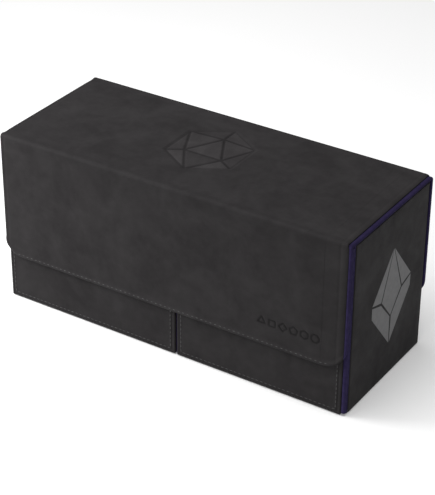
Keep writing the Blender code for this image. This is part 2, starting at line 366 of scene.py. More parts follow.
class Finish:
    """A material under construction: makes nodes and joins them."""

    def __init__(self, name: str) -> None:
        """Start a material and give it object coordinates.

        Args:
            name: the material's name.
        """
        self.material = bpy.data.materials.new(name)
        self.material.use_nodes = True
        self.tree = self.material.node_tree
        self.shader = self.tree.nodes["Principled BSDF"]
        coordinates = self.tree.nodes.new("ShaderNodeTexCoord")
        self.place = Wire(self, coordinates.outputs["Object"])

    def node(self, kind: str, settings: dict, inputs: dict, output: int | str = 0) -> Wire:
        """Add any node and return one of its outputs.

        Args:
            kind: the node's type name.
            settings: properties of the node, set first; "stops" are a ramp's stops.
            inputs: values or wires by socket name or number.
            output: which output to return.

        Returns:
            The output, ready for arithmetic.
        """
        made = self.tree.nodes.new(kind)
        for key, value in settings.items():
            if key == "stops":
                self._set_stops(made, value)
            else:
                setattr(made, key, value)
        for key, value in inputs.items():
            if isinstance(value, Wire):
                self.tree.links.new(value.socket, made.inputs[key])
            else:
                made.inputs[key].default_value = value
        return Wire(self, made.outputs[output])

    @staticmethod
    def _set_stops(ramp: bpy.types.Node, stops: Sequence[tuple[float, tuple]]) -> None:
        """Give a colour ramp its stops as (place, colour) pairs.

        Args:
            ramp: the Color Ramp node.
            stops: places from 0 to 1, each with its colour.
        """
        elements = ramp.color_ramp.elements
        while len(elements) < len(stops):
            elements.new(1.0)
        for element, (place, colour) in zip(elements, stops):
            element.position = place
            element.color = (*colour, 1.0)

    def noise(self, scale: float, detail: float = 3.0, rough: float = 0.5, where: Wire | None = None,
              warp: float = 0.0) -> Wire:
        """Return a noise value at the given scale per metre."""
        return self.node("ShaderNodeTexNoise", {}, {
            "Vector": where or self.place, "Scale": scale, "Detail": detail, "Roughness": rough,
            "Distortion": warp})

    def stretched(self, scale: tuple[float, float, float]) -> Wire:
        """Return object coordinates scaled by axis."""
        return self.node("ShaderNodeMapping", {}, {"Vector": self.place, "Scale": scale})

    def mixed(self, share: Wire, first: tuple, second: tuple) -> Wire:
        """Return a colour between two colours by share."""
        return self.node("ShaderNodeMix", {"data_type": "RGBA"}, {
            0: share, 6: (*first, 1.0), 7: (*second, 1.0)}, 2)

    def gained(self, colour: Wire) -> Wire:
        """Return a colour multiplied by 1 + the mesh's own gain in lightness."""
        gain = self.node("ShaderNodeAttribute", {"attribute_name": GAIN}, {}, "Fac")
        return self.node("ShaderNodeVectorMath", {"operation": "SCALE"}, {0: colour, "Scale": gain + 1.0})

    def bumped(self, height: Wire, depth: float, strength: float = 1.0) -> Wire:
        """Return a normal bent by a height in metres."""
        return self.node("ShaderNodeBump", {}, {"Height": height, "Distance": depth, "Strength": strength})

    def dress(self, links: dict, constants: dict) -> bpy.types.Material:
        """Join wires to the shader's sockets, set its constant sockets and return the material.

        Args:
            links: wires by the name of the socket that they feed.
            constants: plain values by socket name.

        Returns:
            The material.
        """
        for key, wire in links.items():
            self.tree.links.new(wire.socket, self.shader.inputs[key])
        for key, value in constants.items():
            self.shader.inputs[key].default_value = value
        return self.material


@dataclass(frozen=True)
class LeatherCloth:
    """Soft matt leather cloth: a fine pebble grain under a slow cloudy mottle."""

    name: str = "black_leather_cloth"
    dark: tuple = (0.0215, 0.0200, 0.0207)
    light: tuple = (0.0300, 0.0282, 0.0290)
    roughness: tuple = (0.50, 0.62)
    grain_depth: float = 0.05 * MM
    sheen: float = 0.02

    def build(self) -> bpy.types.Material:
        """Return the material.

        Returns:
            The material.
        """
        finish = Finish(self.name)
        cloud = finish.noise(45.0, 4.0, 0.55, warp=0.6)
        patch = finish.noise(190.0, 3.0, 0.6)
        mottle = (cloud * 0.65 + patch * 0.35).between(0.36, 0.64)
        pebble = finish.node("ShaderNodeTexVoronoi", {"feature": "SMOOTH_F1"},
                             {"Vector": finish.place, "Scale": 1500.0, "Smoothness": 0.6})
        fibre = finish.noise(5200.0, 2.0, 0.6)
        shade = mottle * (0.86 + fibre * 0.28)
        height = pebble * 0.7 + fibre * 0.3
        low, high = self.roughness
        return finish.dress(
            {"Base Color": finish.gained(finish.mixed(shade, self.dark, self.light)),
             "Roughness": high - mottle * (high - low),
             "Normal": finish.bumped(height, self.grain_depth, 0.55)},
            {"Sheen Weight": self.sheen, "Sheen Roughness": 0.45, "Specular IOR Level": 0.03,
             "Sheen Tint": (0.9, 0.88, 0.9, 1.0)})


@dataclass(frozen=True)
class Microfibre:
    """Short-napped woven cloth: a fine diagonal twill under brushed patches."""

    name: str
    dark: tuple
    light: tuple
    sheen: float
    pitch: float = 0.35 * MM

    def build(self) -> bpy.types.Material:
        """Return the material.

        Returns:
            The material.
        """
        finish = Finish(self.name)
        nap = finish.noise(260.0, 4.0, 0.6, warp=0.8).between(0.34, 0.66)
        fibre = finish.noise(6500.0, 2.0, 0.7, finish.stretched((1.0, 1.0, 0.45)))
        weave = finish.node("ShaderNodeTexWave", {"bands_direction": "DIAGONAL"}, {
            "Vector": finish.place, "Scale": 1.0 / (self.pitch * 20.0), "Distortion": 1.5,
            "Detail": 2.0, "Detail Scale": 3.0}, 1)
        shade = (nap * 0.6 + fibre * 0.55) * 0.85
        return finish.dress(
            {"Base Color": finish.gained(finish.mixed(shade, self.dark, self.light)),
             "Roughness": 0.96 - nap * 0.12,
             "Normal": finish.bumped(fibre * 0.6 + weave * 0.4, 0.00006, 0.6)},
            {"Sheen Weight": self.sheen, "Sheen Roughness": 0.5, "Specular IOR Level": 0.1,
             "Sheen Tint": (*(min(1.0, value * 9.0) for value in self.light), 1.0)})


@dataclass(frozen=True)
class PaperBoard:
    """Black pressed board with flecks and long paper fibres."""

    name: str = "black_board"
    dark: tuple = (0.018, 0.018, 0.019)
    light: tuple = (0.040, 0.040, 0.042)

    def build(self) -> bpy.types.Material:
        """Return the material.

        Returns:
            The material.
        """
        finish = Finish(self.name)
        fibre = finish.noise(900.0, 4.0, 0.65, finish.stretched((0.25, 1.0, 1.0)))
        fleck = finish.noise(3000.0, 1.0).between(0.66, 0.72)
        shade = fibre.between(0.3, 0.7) * 0.8 + fleck * 0.2
        return finish.dress(
            {"Base Color": finish.mixed(shade, self.dark, self.light),
             "Roughness": 0.9 - shade * 0.12,
             "Normal": finish.bumped(fibre, 0.00005, 0.5)},
            {"Specular IOR Level": 0.25})


@dataclass(frozen=True)
class Nickel:
    """Plated disc with turned marks."""

    name: str = "nickel_plate"
    dark: tuple = (0.56, 0.55, 0.53)
    light: tuple = (0.68, 0.67, 0.65)

    def build(self) -> bpy.types.Material:
        """Return the material.

        Returns:
            The material.
        """
        finish = Finish(self.name)
        turned = finish.noise(2400.0, 3.0, 0.6, finish.stretched((1.0, 6.0, 1.0)))
        smear = finish.noise(160.0, 3.0).between(0.35, 0.7)
        return finish.dress(
            {"Base Color": finish.mixed(smear, self.dark, self.light),
             "Roughness": 0.22 + turned * 0.2,
             "Normal": finish.bumped(turned, 0.00001, 0.4)},
            {"Metallic": 1.0})


@dataclass(frozen=True)
class Thread:
    """Waxed sewing thread: strands twisted round its length."""

    name: str = "waxed_thread"
    dark: tuple = (0.022, 0.021, 0.022)
    light: tuple = (0.034, 0.033, 0.034)

    def build(self) -> bpy.types.Material:
        """Return the material.

        Returns:
            The material.
        """
        finish = Finish(self.name)
        strand = finish.node("ShaderNodeTexWave", {"bands_direction": "DIAGONAL"}, {
            "Vector": finish.place, "Scale": 160.0, "Distortion": 0.6, "Detail": 1.0}, 1)
        fuzz = finish.noise(4000.0, 2.0)
        return finish.dress(
            {"Base Color": finish.mixed(strand * 0.7 + fuzz * 0.3, self.dark, self.light),
             "Roughness": 0.62 - strand * 0.12,
             "Normal": finish.bumped(strand, 0.00004, 0.7)},
            {"Sheen Weight": 0.1, "Sheen Roughness": 0.4})


@dataclass(frozen=True)
class PrintInk:
    """Matt grey ink printed on leather cloth, thinner on the high grain."""

    name: str = "grey_ink"
    dark: tuple = (0.105, 0.105, 0.108)
    light: tuple = (0.150, 0.149, 0.152)

    def build(self) -> bpy.types.Material:
        """Return the material.

        Returns:
            The material.
        """
        finish = Finish(self.name)
        cloud = finish.noise(300.0, 4.0, 0.6).between(0.32, 0.68)
        grain = finish.noise(3800.0, 2.0, 0.6)
        return finish.dress(
            {"Base Color": finish.mixed(cloud * 0.6 + grain * 0.4, self.dark, self.light),
             "Roughness": 0.5 + grain * 0.15,
             "Normal": finish.bumped(grain, 0.00003, 0.4)},
            {"Specular IOR Level": 0.35})


@dataclass(frozen=True)
class Finishes:
    """Every material of the case, built once."""

    leather: bpy.types.Material
    binding: bpy.types.Material
    lining: bpy.types.Material
    felt: bpy.types.Material
    black_board: bpy.types.Material
    nickel: bpy.types.Material
    thread: bpy.types.Material
    ink: bpy.types.Material

    @classmethod
    def build(cls) -> "Finishes":
        """Return the case's materials.

        Returns:
            All the materials.
        """
        return cls(
            leather=LeatherCloth().build(),
            binding=Microfibre("purple_binding", (0.015, 0.011, 0.037), (0.031, 0.023, 0.074), 0.04).build(),
            lining=Microfibre("purple_lining", (0.026, 0.016, 0.070), (0.060, 0.040, 0.150), 0.35).build(),
            felt=Microfibre("purple_felt", (0.034, 0.022, 0.085), (0.075, 0.052, 0.175), 0.5).build(),
            black_board=PaperBoard().build(),
            nickel=Nickel().build(),
            thread=Thread().build(),
            ink=PrintInk().build())


# Sub-assemblies ----------------------------------------------------------------


def bead_outline(widths: Array, tall: float) -> tuple[Array, Array]:
    """Return the section of a bound edge at each station.

    The section is a closed super-ellipse: each half keeps its own exponent, so that
    the outer side is flatter than the side tucked under the leather.

    Args:
        widths: the section's width at each station.
        tall: its height.

    Returns:
        Places across, from 0 to the width, and up, from 0 to the height, for each
        station and point.
    """
    angle = np.linspace(0.0, 2.0 * np.pi, 24, endpoint=False)
    cosine, sine = np.cos(angle), np.sin(angle)
    exponent = np.where(cosine > 0.0, 0.8, 0.95)
    across = np.sign(cosine) * np.abs(cosine) ** exponent
    up = np.sign(sine) * np.abs(sine) ** exponent
    half = np.asarray(widths)[:, None] / 2
    return half * (1.0 + across), np.broadcast_to(tall / 2 * (1.0 + up), (len(half), len(up)))


@dataclass
class Emboss:
    """Marks pressed into the leather of the lid and the front flap."""

    crest_centre: tuple[float, float] = (-4.0 * MM, 4.0 * MM)
    crest_radius: float = 25.0 * MM
    crest_stretch: float = 1.06
    crest_stroke: float = 1.5 * MM
    crest_soft: float = 0.7 * MM
    crest_depth: float = 0.30 * MM
    line_depth: float = 0.25 * MM
    # Painted shade in the lid mark's pressed lines.
    line_painted_shade: float = -0.22
    face_share: float = 0.56
    rim_slope: tuple[float, float] = (-0.3 * MM, 0.9 * MM)
    face_slope: tuple[float, float] = (-0.2 * MM, 0.4 * MM)
    # Lighter polished fill of the lid's mark, a different amount on each face: painted shading of the faces.
    crest_polish_and_face_shades: tuple[float, ...] = (0.42, 0.30, 0.16, 0.34, 0.22, 0.40, 0.12, 0.36, 0.26, 0.38)
    badge_low_x: float = 61.55 * MM
    badge_pitch: float = 6.6 * MM
    badge_z: float = 45.0 * MM
    badge_radius: float = 2.55 * MM
    badge_stroke: float = 1.0 * MM
    badge_soft: float = 0.35 * MM
    badge_depth: float = 0.32 * MM
    # Painted shade in the badges' pressed strokes.
    badge_painted_shade: float = -0.36
    badge_shapes: tuple[tuple[int, float], ...] = ((3, 90.0), (4, 45.0), (4, 90.0), (5, 90.0), (6, 90.0),
                                                   (8, 22.5))

    def crest(self, x: Array, y: Array) -> tuple[Array, Array]:
        """Return how deep the lid's mark is at places on the lid, and its gain in lightness.

        The whole outline is pressed in flat and polished lighter, each of its ten faces painted a different
        shade as if tilted to the light, and its lines are pressed deeper, with painted shade in them.

        Args:
            x, y: places on the lid.

        Returns:
            The depth and the gain in lightness, one value for each place.
        """
        centre, radius, stretch = self.crest_centre, self.crest_radius, self.crest_stretch
        rim = polygon(centre, radius, 6, 90.0, stretch)
        face = polygon(centre, radius * self.face_share, 3, 90.0, stretch)
        fill = smooth_step(depth_inside(x, y, rim), *self.rim_slope)
        gain = np.zeros(fill.shape)
        # Each face gets the polished lightening plus its own painted shade.
        for triangle, tone in zip(twenty_sided_faces(rim, face), self.crest_polish_and_face_shades):
            gain = np.maximum(gain, tone * smooth_step(depth_inside(x, y, triangle), *self.face_slope))
        lines = stroke_depth(x, y, twenty_sided_lines(rim, face), self.crest_stroke, self.crest_soft)
        depth = self.crest_depth * fill + self.line_depth * lines
        # Painted shade darkens the pressed lines.
        return depth, gain * (1.0 - lines) + self.line_painted_shade * lines * fill

    def badges(self, x: Array, z: Array) -> tuple[Array, Array]:
        """Return the depth of the row of small shapes on the front flap, and its gain in lightness.

        Args:
            x, z: places on the flap.

        Returns:
            The depth and the painted shade in the strokes, one value for each place.
        """
        lines: list[tuple[Array, Array]] = []
        for number, (sides, turn) in enumerate(self.badge_shapes):
            centre = (self.badge_low_x + number * self.badge_pitch, self.badge_z)
            lines += outline(polygon(centre, self.badge_radius, sides, turn))
        strokes = stroke_depth(x, z, lines, self.badge_stroke, self.badge_soft)
        # Painted shade darkens the strokes.
        return self.badge_depth * strokes, self.badge_painted_shade * strokes

    @property
    def crest_span(self) -> tuple[float, float, float, float]:
        """Return the lid mark's lowest and highest x and y.

        Returns:
            Low x, high x, low y and high y.
        """
        reach_x = self.crest_radius + self.crest_stroke
        reach_y = self.crest_radius * self.crest_stretch + self.crest_stroke
        x, y = self.crest_centre
        return x - reach_x, x + reach_x, y - reach_y, y + reach_y

    @property
    def badge_span(self) -> tuple[float, float, float, float]:
        """Return the flap marks' lowest and highest x and z."""
        reach = self.badge_radius + self.badge_stroke
        last_x = self.badge_low_x + (len(self.badge_shapes) - 1) * self.badge_pitch
        return self.badge_low_x - reach, last_x + reach, self.badge_z - reach, self.badge_z + reach


@dataclass(frozen=True)
class Path:
    """A panel's path in the YZ plane.

    Each point stands on a base place on the panel's inner face, raised in the through
    direction by rise, plus rim where the face bulges. on_lid is 1 on the lid and falls
    to 0 round the fold.
    """

    base: Array
    through: Array
    rise: Array
    rim: Array
    on_lid: Array
    lid_count: int
    flap_rows: slice


@dataclass
class Cover:
    """The saddle-shaped cover: leather, bound edges, lining and stitches.

    The leather ends short of a purple bead at the right and laps over the bead at the
    left. It rolls over towards both ends, behind a shallow pressed groove.
    """

    fit: Fit
    finishes: Finishes
    emboss: Emboss = field(default_factory=Emboss)
    skin: float = 0.7 * MM
    inner_stride: int = 3
    lining: float = 0.4 * MM
    lining_bend: float = 0.35 * MM
    lining_step: float = 4.0 * MM
    lining_above: float = 3.6 * MM
    left_corner: float = 11.5 * MM
    front_right_corner: float = 15.0 * MM
    rear_right_corner: float = 11.5 * MM
    foot: float = 1.3 * MM
    # Painted shade on the rounded underside of each flap's lower edge.
    foot_painted_shade: float = -0.6
    # Painted highlight along the raised hem above each flap's lower edge.
    hem_painted_highlight: float = 0.16
    hem_height: float = 0.35 * MM
    hem_above: float = 2.2 * MM
    hem_width: float = 1.3 * MM
    hem_reach: float = 5.0 * MM
    lap: float = 1.2 * MM
    roll_depth: float = 1.0 * MM
    lid_roll_share: float = 0.55
    lid_retreat: float = 1.1 * MM
    right_roll: float = 2.5 * MM
    left_roll: float = 1.5 * MM
    right_groove: float = 4.3 * MM
    left_groove: float = 2.6 * MM
    groove_depth: float = 0.14 * MM
    groove_width: float = 0.8 * MM
    lid_bead_sunk: float = 0.05 * MM
    # Painted shade on the bound edges where they run along the lid, darkening their lit top.
    lid_bead_painted_shade: float = -0.28
    rim_height: float = 0.28 * MM
    hollow_depth: float = 0.16 * MM
    hollow_in: float = 3.6 * MM
    hollow_width: float = 2.4 * MM
    rim_width: float = 1.8 * MM
    turn_in: float = 6.0 * MM
    tuck: float = 0.2 * MM
    right_bead_low: float = 0.6 * MM
    left_bead_low: float = 1.25 * MM
    stitch_above: float = 2.4 * MM
    stitch_inset: float = 8.5 * MM
    stitch_pitch: float = 3.0 * MM
    stitch_sunk: float = 0.18 * MM
    fold_reach: float = 6.0 * MM
    front_reach: float = 8.0 * MM
    tight: float = 0.35 * MM
    close: float = 0.7 * MM
    fine: float = 0.5 * MM
    coarse: float = 3.0 * MM
    bead_step: float = 8.0 * MM

    @property
    def right_x(self) -> float:
        """Return where the leather ends at the right."""
        return self.fit.leather_x

    @property
    def left_x(self) -> float:
        """Return where the leather ends at the left."""
        return -self.fit.leather_x - self.lap

    def corner(self, side: Side, end: int) -> float:
        """Return the radius of a flap's lower corner at one end."""
        if end < 0:
            return self.left_corner
        return self.front_right_corner if side is Side.FRONT else self.rear_right_corner

    def flap_edge(self, side: Side, x: Array) -> Array:
        """Return the height of a flap's lower edge: z + r - sqrt(r^2 - d^2) past the corner's centre."""
        corner = np.where(x > 0.0, self.corner(side, 1), self.corner(side, -1))
        past = np.maximum(np.abs(x) - (self.fit.end_x - corner), 0.0)
        return self.fit.flap_low_z + corner - np.sqrt(corner ** 2 - past ** 2)

    def hem_rise(self, above: Array | float) -> Array | float:
        """Return how far the hem stands out at a height above the lower edge: h e^-(d/w)^2."""
        return self.hem_height * np.exp(-((above - self.hem_above) / self.hem_width) ** 2)

    def end_drop(self, x: Array) -> Array:
        """Return how far the leather lies below the panel's flat face at each x.

        It is h (1 - sqrt(1 - t^2)) over the roll at each end, with t going from 0 to 1,
        plus a groove of depth e^-(d/w)^2.

        Args:
            x: places along the case.

        Returns:
            The drop at each place.
        """
        right = np.clip((x - self.right_x + self.right_roll) / self.right_roll, 0.0, 1.0)
        left = np.clip((self.left_x + self.left_roll - x) / self.left_roll, 0.0, 1.0)
        roll = 2.0 - np.sqrt(1.0 - right ** 2) - np.sqrt(1.0 - left ** 2)
        grooves = sum(np.exp(-((x - centre) / self.groove_width) ** 2)
                      for centre in (self.right_x - self.right_groove, self.left_x + self.left_groove))
        return self.roll_depth * roll + self.groove_depth * grooves

    def x_lines(self) -> Array:
        """Return the x places of the sweep, closer over the marks, the corners and the ends.

        Returns:
            Ascending places from the left end of the leather to its right end.
        """
        low, high = self.emboss.crest_span[:2]
        badge_low, badge_high = self.emboss.badge_span[:2]
        low_bend = self.left_corner - self.fit.end_x
        high_bend = self.fit.end_x - self.front_right_corner
        ease = 1.0 - np.cos(np.radians(np.linspace(0.0, 90.0, 8)))
        start = self.left_x + self.left_roll * ease
        stop = self.right_x - self.right_roll * ease[::-1]
        groove_end = start[-1] + self.left_groove
        middle = spaced((start[-1], groove_end, low_bend, low, high, badge_low, badge_high, high_bend,
                         stop[0]),
                        (self.tight, self.groove_width, self.coarse, self.fine, self.coarse, self.fine,
                         self.coarse, self.tight))
        return np.concatenate((start, middle[1:-1], stop))

    def path(self, side: Side, edges: Array) -> Path:
        """Return one bent panel's path at each height of its lower edge.

        The path runs along the lid from its rear edge (front panel only), round the
        fold, down the flap, round the lower edge and a little way up the inside.

        Args:
            side: which panel.
            edges: heights of the lower edge.

        Returns:
            The path; its base is shaped (edge, point, 2) and the rest (point, ...).
        """
        fit = self.fit
        sign = float(side.value)
        low_y, high_y = self.emboss.crest_span[2:]
        lid = np.zeros(0)
        if side is Side.FRONT:
            lid = -spaced((-fit.inner_y, self.fold_reach - fit.inner_y, -high_y, -low_y,
                           fit.inner_y - self.front_reach, fit.inner_y),
                          (self.close, self.coarse, self.fine, self.coarse, self.close))[:-1]
        turn = np.radians(np.linspace(90.0, 0.0, 13))
        badge_low, badge_high = self.emboss.badge_span[2:]
        full = fit.flap_low_z + self.foot
        marked = (-badge_high, -badge_low) if side is Side.FRONT else (-full - self.hem_reach,)
        flap = -spaced((-fit.under_z, self.fold_reach - fit.under_z, *marked, -full),
                       (self.close, self.coarse, *(self.fine for _ in marked)))[1:]
        quarter = np.radians(np.linspace(0.0, 90.0, 6))
        under_rise = np.concatenate((fit.wall - self.foot * (1.0 - np.cos(quarter[1:])),
                                     self.foot * (1.0 - np.sin(quarter))))
        under_drop = -self.foot * np.concatenate((np.sin(quarter[1:]), np.cos(quarter)))
        inside_drop = np.linspace(0.0, self.turn_in, 5)[1:]

        foot = np.asarray(edges)[:, None] + self.foot
        shrink = (fit.under_z - foot) / (fit.under_z - full)
        tail = foot + np.concatenate((under_drop, inside_drop))
        flat_z = np.broadcast_to(fit.under_z, (len(foot), len(lid) + len(turn)))
        base_z = np.concatenate((flat_z, fit.under_z + (flap - fit.under_z) * shrink, tail), axis=1)
        flap_count, tail_count = len(flap), tail.shape[1]
        base_y = np.concatenate((lid, np.full(len(turn) + flap_count + tail_count, sign * fit.inner_y)))
        through = np.concatenate((np.tile((0.0, 1.0), (len(lid), 1)),
                                  np.stack((sign * np.cos(turn), np.sin(turn)), axis=-1),
                                  np.tile((sign, 0.0), (flap_count + tail_count, 1))))
        rise = np.concatenate((np.full(len(lid) + len(turn) + flap_count, fit.wall), under_rise,
                               np.zeros(len(inside_drop))))
        first = len(lid) + len(turn)
        away = fit.inner_y - np.abs(lid)
        lid_rim = (self.rim_height * np.exp(-(away / self.rim_width) ** 2)
                   - self.hollow_depth * np.exp(-((away - self.hollow_in) / self.hollow_width) ** 2))
        hem = self.hem_rise(np.concatenate((flap - fit.flap_low_z, self.foot + under_drop)))
        hem[flap_count:] *= under_rise / fit.wall
        rim = np.concatenate((lid_rim, self.rim_height * np.sin(turn) ** 2, hem,
                              np.zeros(len(inside_drop))))
        base = np.stack((np.broadcast_to(base_y, base_z.shape), base_z), axis=-1)
        on_lid = np.concatenate((np.ones(len(lid)), np.sin(turn), np.zeros(flap_count + tail_count)))
        return Path(base, through, rise, rim, on_lid, len(lid), slice(first, first + flap_count))

    def sheet_rings(self, side: Side) -> tuple[Array, Array]:
        """Return a leather sheet's closed rings and the gain in lightness at their points.

        A ring is the outer path and, inside it, its offset.

        A point stands on its base by rise (1 - drop / wall) + rim, less any mark's depth.

        Args:
            side: which sheet.

        Returns:
            The rings, shaped (x line, point, 3), and the gain, shaped (x line, point).
        """
        x_lines = self.x_lines()
        path = self.path(side, self.flap_edge(side, x_lines))
        drop = self.end_drop(x_lines)[:, None] * (1.0 - (1.0 - self.lid_roll_share) * path.on_lid)
        rise = path.rise * (1.0 - drop / self.fit.wall) + path.rim
        plain = path.base + path.through * rise[..., None]
        run = np.gradient(plain, axis=1)
        run /= np.linalg.norm(run, axis=-1, keepdims=True)
        inner = plain + self.skin * side.value * np.stack((run[..., 1], -run[..., 0]), axis=-1)
        marks, gain = np.zeros(rise.shape), np.zeros(rise.shape)
        if side is Side.FRONT:
            lid, flap = slice(0, path.lid_count), path.flap_rows
            columns = x_lines[:, None]
            marks[:, lid], gain[:, lid] = self.emboss.crest(columns, path.base[:, lid, 0])
            marks[:, flap], gain[:, flap] = self.emboss.badges(columns, path.base[:, flap, 1])
        # Painted highlight along the hem's ridge, following its height.
        gain[:, path.flap_rows] += self.hem_painted_highlight * path.rim[path.flap_rows] / self.hem_height
        # Painted shade on the underside of the flap's lower edge and its turn inside.
        gain[:, path.flap_rows.stop + 1:] = self.foot_painted_shade
        near_end = smooth_step(x_lines, self.right_x - 2.0 * self.right_roll, self.right_x)
        x = x_lines[:, None] - self.lid_retreat * near_end[:, None] * path.on_lid
        outer = path.base + path.through * (rise - marks)[..., None]
        count = rise.shape[1]
        kept = np.append(np.arange(0, count - 1, self.inner_stride), count - 1)[::-1]
        ring = np.concatenate((outer, inner[:, kept]), axis=1)
        x = np.concatenate((x, x[:, kept]), axis=1)[..., None]
        return np.concatenate((x, ring), axis=-1), np.concatenate((gain, 0.0 * gain[:, kept]), axis=1)

    def build(self) -> list[bpy.types.Object]:
        """Build the whole cover and return its pieces."""
        return [*self.build_leather(), *self.build_bindings(), *self.build_linings(),
                *self.build_stitches()]

    def bend(self, piece: bpy.types.Object, side: Side) -> None:
        """Bake a piece's transform into its mesh, the same at either fold; the piece does not bend.

        Args:
            piece: the piece that spans the fold.
            side: which fold.
        """
        if side is Side.FRONT:
            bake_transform(piece)
        else:
            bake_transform(piece)

    def build_leather(self) -> list[bpy.types.Object]:
        """Return the leather of the lid with the front flap, and of the rear flap.

        Returns:
            The two leather pieces.
        """
        pieces = []
        for side, name, nodes in (
                (Side.FRONT, "cover_leather",
                 ("lid_skin", "lid_board", "front_fold", "front_flap_skin", "front_flap_board")),
                (Side.REAR, "rear_leather", ("rear_fold", "rear_flap_skin", "rear_flap_board"))):
            rings, gain = self.sheet_rings(side)
            piece = loft(name, rings, self.finishes.leather)
            set_gain(piece, gain)
            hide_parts(*nodes)
            self.bend(piece, side)
            pieces.append(piece)
        return pieces

    def bead_rings(self, side: Side, end: int) -> tuple[Array, Array]:
        """Return the rings of one bound edge, thinning to nothing round the flap's corner, and its gain.

        Args:
            side: which panel the edge binds.
            end: 1 for the right end, -1 for the left.

        Returns:
            The rings, shaped (station, point, 3), and the painted shade where the bead runs along the lid,
            shaped (station, point).
        """
        fit = self.fit
        sign = float(side.value)
        lid_y = np.zeros(0)
        if side is Side.FRONT:
            lid_y = spaced((-fit.inner_y, fit.inner_y), (self.bead_step,))[::-1][:-1]
        turn = np.radians(np.linspace(90.0, 0.0, 11))
        corner = self.corner(side, end)
        bend_x, corner_z = fit.end_x - corner, fit.flap_low_z + corner
        last = math.acos((fit.leather_x + self.tuck / 2 - bend_x) / corner)
        bend = np.linspace(0.0, last, 10)
        straight = -spaced((-fit.under_z, -corner_z), (self.bead_step,))[1:-1]
        flap_z = np.concatenate((straight, corner_z - corner * np.sin(bend)))
        out_x = np.full(len(lid_y) + len(turn) + len(flap_z), fit.end_x)
        out_x[-len(bend):] = bend_x + corner * np.cos(bend)
        base = np.concatenate((np.stack((lid_y, np.full(len(lid_y), fit.under_z)), axis=-1),
                               np.tile((sign * fit.inner_y, fit.under_z), (len(turn), 1)),
                               np.stack((np.full(len(flap_z), sign * fit.inner_y), flap_z), axis=-1)))
        through = np.concatenate((np.tile((0.0, 1.0), (len(lid_y), 1)),
                                  np.stack((sign * np.cos(turn), np.sin(turn)), axis=-1),
                                  np.tile((sign, 0.0), (len(flap_z), 1))))
        tall = fit.wall - (self.right_bead_low if end > 0 else self.left_bead_low)
        retreat = self.lid_retreat if end > 0 else 0.0
        share = np.concatenate((np.ones(len(lid_y)), np.sin(turn), np.zeros(len(flap_z))))
        in_x = fit.leather_x - self.tuck - retreat * share
        across, up = bead_outline(out_x - in_x, tall)
        up = up * (1.0 - self.lid_bead_sunk / tall * share[:, None])
        place = base[:, None] + through[:, None] * up[..., None]
        rings = np.concatenate(((end * (in_x[:, None] + across))[..., None], place), axis=-1)
        # Painted shade on the bead along the lid, fading round the fold.
        return rings, np.broadcast_to(self.lid_bead_painted_shade * share[:, None], up.shape)

    def build_bindings(self) -> list[bpy.types.Object]:
        """Return the four bound edges.

        Returns:
            The four edges.
        """
        pieces = []
        for side, names in ((Side.FRONT, ("lid", "front_flap")), (Side.REAR, ("rear_flap",))):
            for end, word in ((1, "right"), (-1, "left")):
                edge = "lid_edge" if side is Side.FRONT else "rear_edge"
                rings, gain = self.bead_rings(side, end)
                piece = loft(f"{edge}_{word}", rings, self.finishes.binding)
                set_gain(piece, gain)
                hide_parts(*(f"{name}_binding_{word}" for name in names))
                self.bend(piece, side)
                pieces.append(piece)
        return pieces

    def build_linings(self) -> list[bpy.types.Object]:
        """Return the two lining sheets, which stop short of the turned leather edge.

        Returns:
            The two linings.
        """
        fit = self.fit
        pieces = []
        end_x, small = fit.leather_x + self.tuck, self.lining_bend
        x_lines = spaced((-end_x, end_x), (self.lining_step,))
        turn = np.radians(np.linspace(90.0, 0.0, 5))
        down = np.linspace(0.0, 1.0, 14)[1:]
        for side, name, nodes in (
                (Side.FRONT, "cover_lining", ("lid_lining", "front_flap_lining")),
                (Side.REAR, "rear_lining", ("rear_flap_lining",))):
            lid_y = np.zeros(0)
            if side is Side.FRONT:
                lid_y = spaced((small - fit.inner_y, fit.inner_y - small), (self.fold_reach,))[::-1][:-1]
            top = fit.under_z - small
            edge = self.flap_edge(side, x_lines)[:, None] + self.lining_above
            flap_z = top + (edge - top) * down
            sheets = []
            for lift in (0.0, self.lining):
                reach = small + lift
                y = np.concatenate((lid_y,
                                    side.value * (fit.inner_y - small + reach * np.cos(turn)),
                                    np.full(len(down), side.value * (fit.inner_y + lift))))
                flat = np.concatenate((np.full(len(lid_y), fit.under_z + lift), top + reach * np.sin(turn)))
                z = np.concatenate((np.broadcast_to(flat, (len(x_lines), len(flat))), flap_z), axis=1)
                x = np.broadcast_to(x_lines[:, None], z.shape)
                sheets.append(np.stack((x, np.broadcast_to(y, z.shape), z), axis=-1))
            piece = loft(name, np.concatenate((sheets[0], sheets[1][:, ::-1]), axis=1), self.finishes.lining)
            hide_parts(*nodes)
            self.bend(piece, side)
            pieces.append(piece)
        return pieces

    def build_stitches(self) -> list[bpy.types.Object]:
        """Return the row of stitches along each flap's lower edge.

        Returns:
            The two rows.
        """
        fit = self.fit
        pieces = []
        x = np.linspace(self.left_x + self.stitch_inset, self.right_x - self.stitch_inset, 160)
        stand = self.hem_rise(self.stitch_above)
        for side, body in ((Side.FRONT, "front_flap"), (Side.REAR, "rear_flap")):
            z = self.flap_edge(side, x) + self.stitch_above
            y = np.full(len(x), side.value * (fit.outer_y + stand))
            seam = Seam(np.stack((x, y, z), axis=-1), np.array((0.0, side.value, 0.0)),
                        pitch=self.stitch_pitch, sunk=self.stitch_sunk)
            piece = seam.build(f"{body}_stitches", self.finishes.thread)
            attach(piece, body)
            pieces.append(piece)
        return pieces


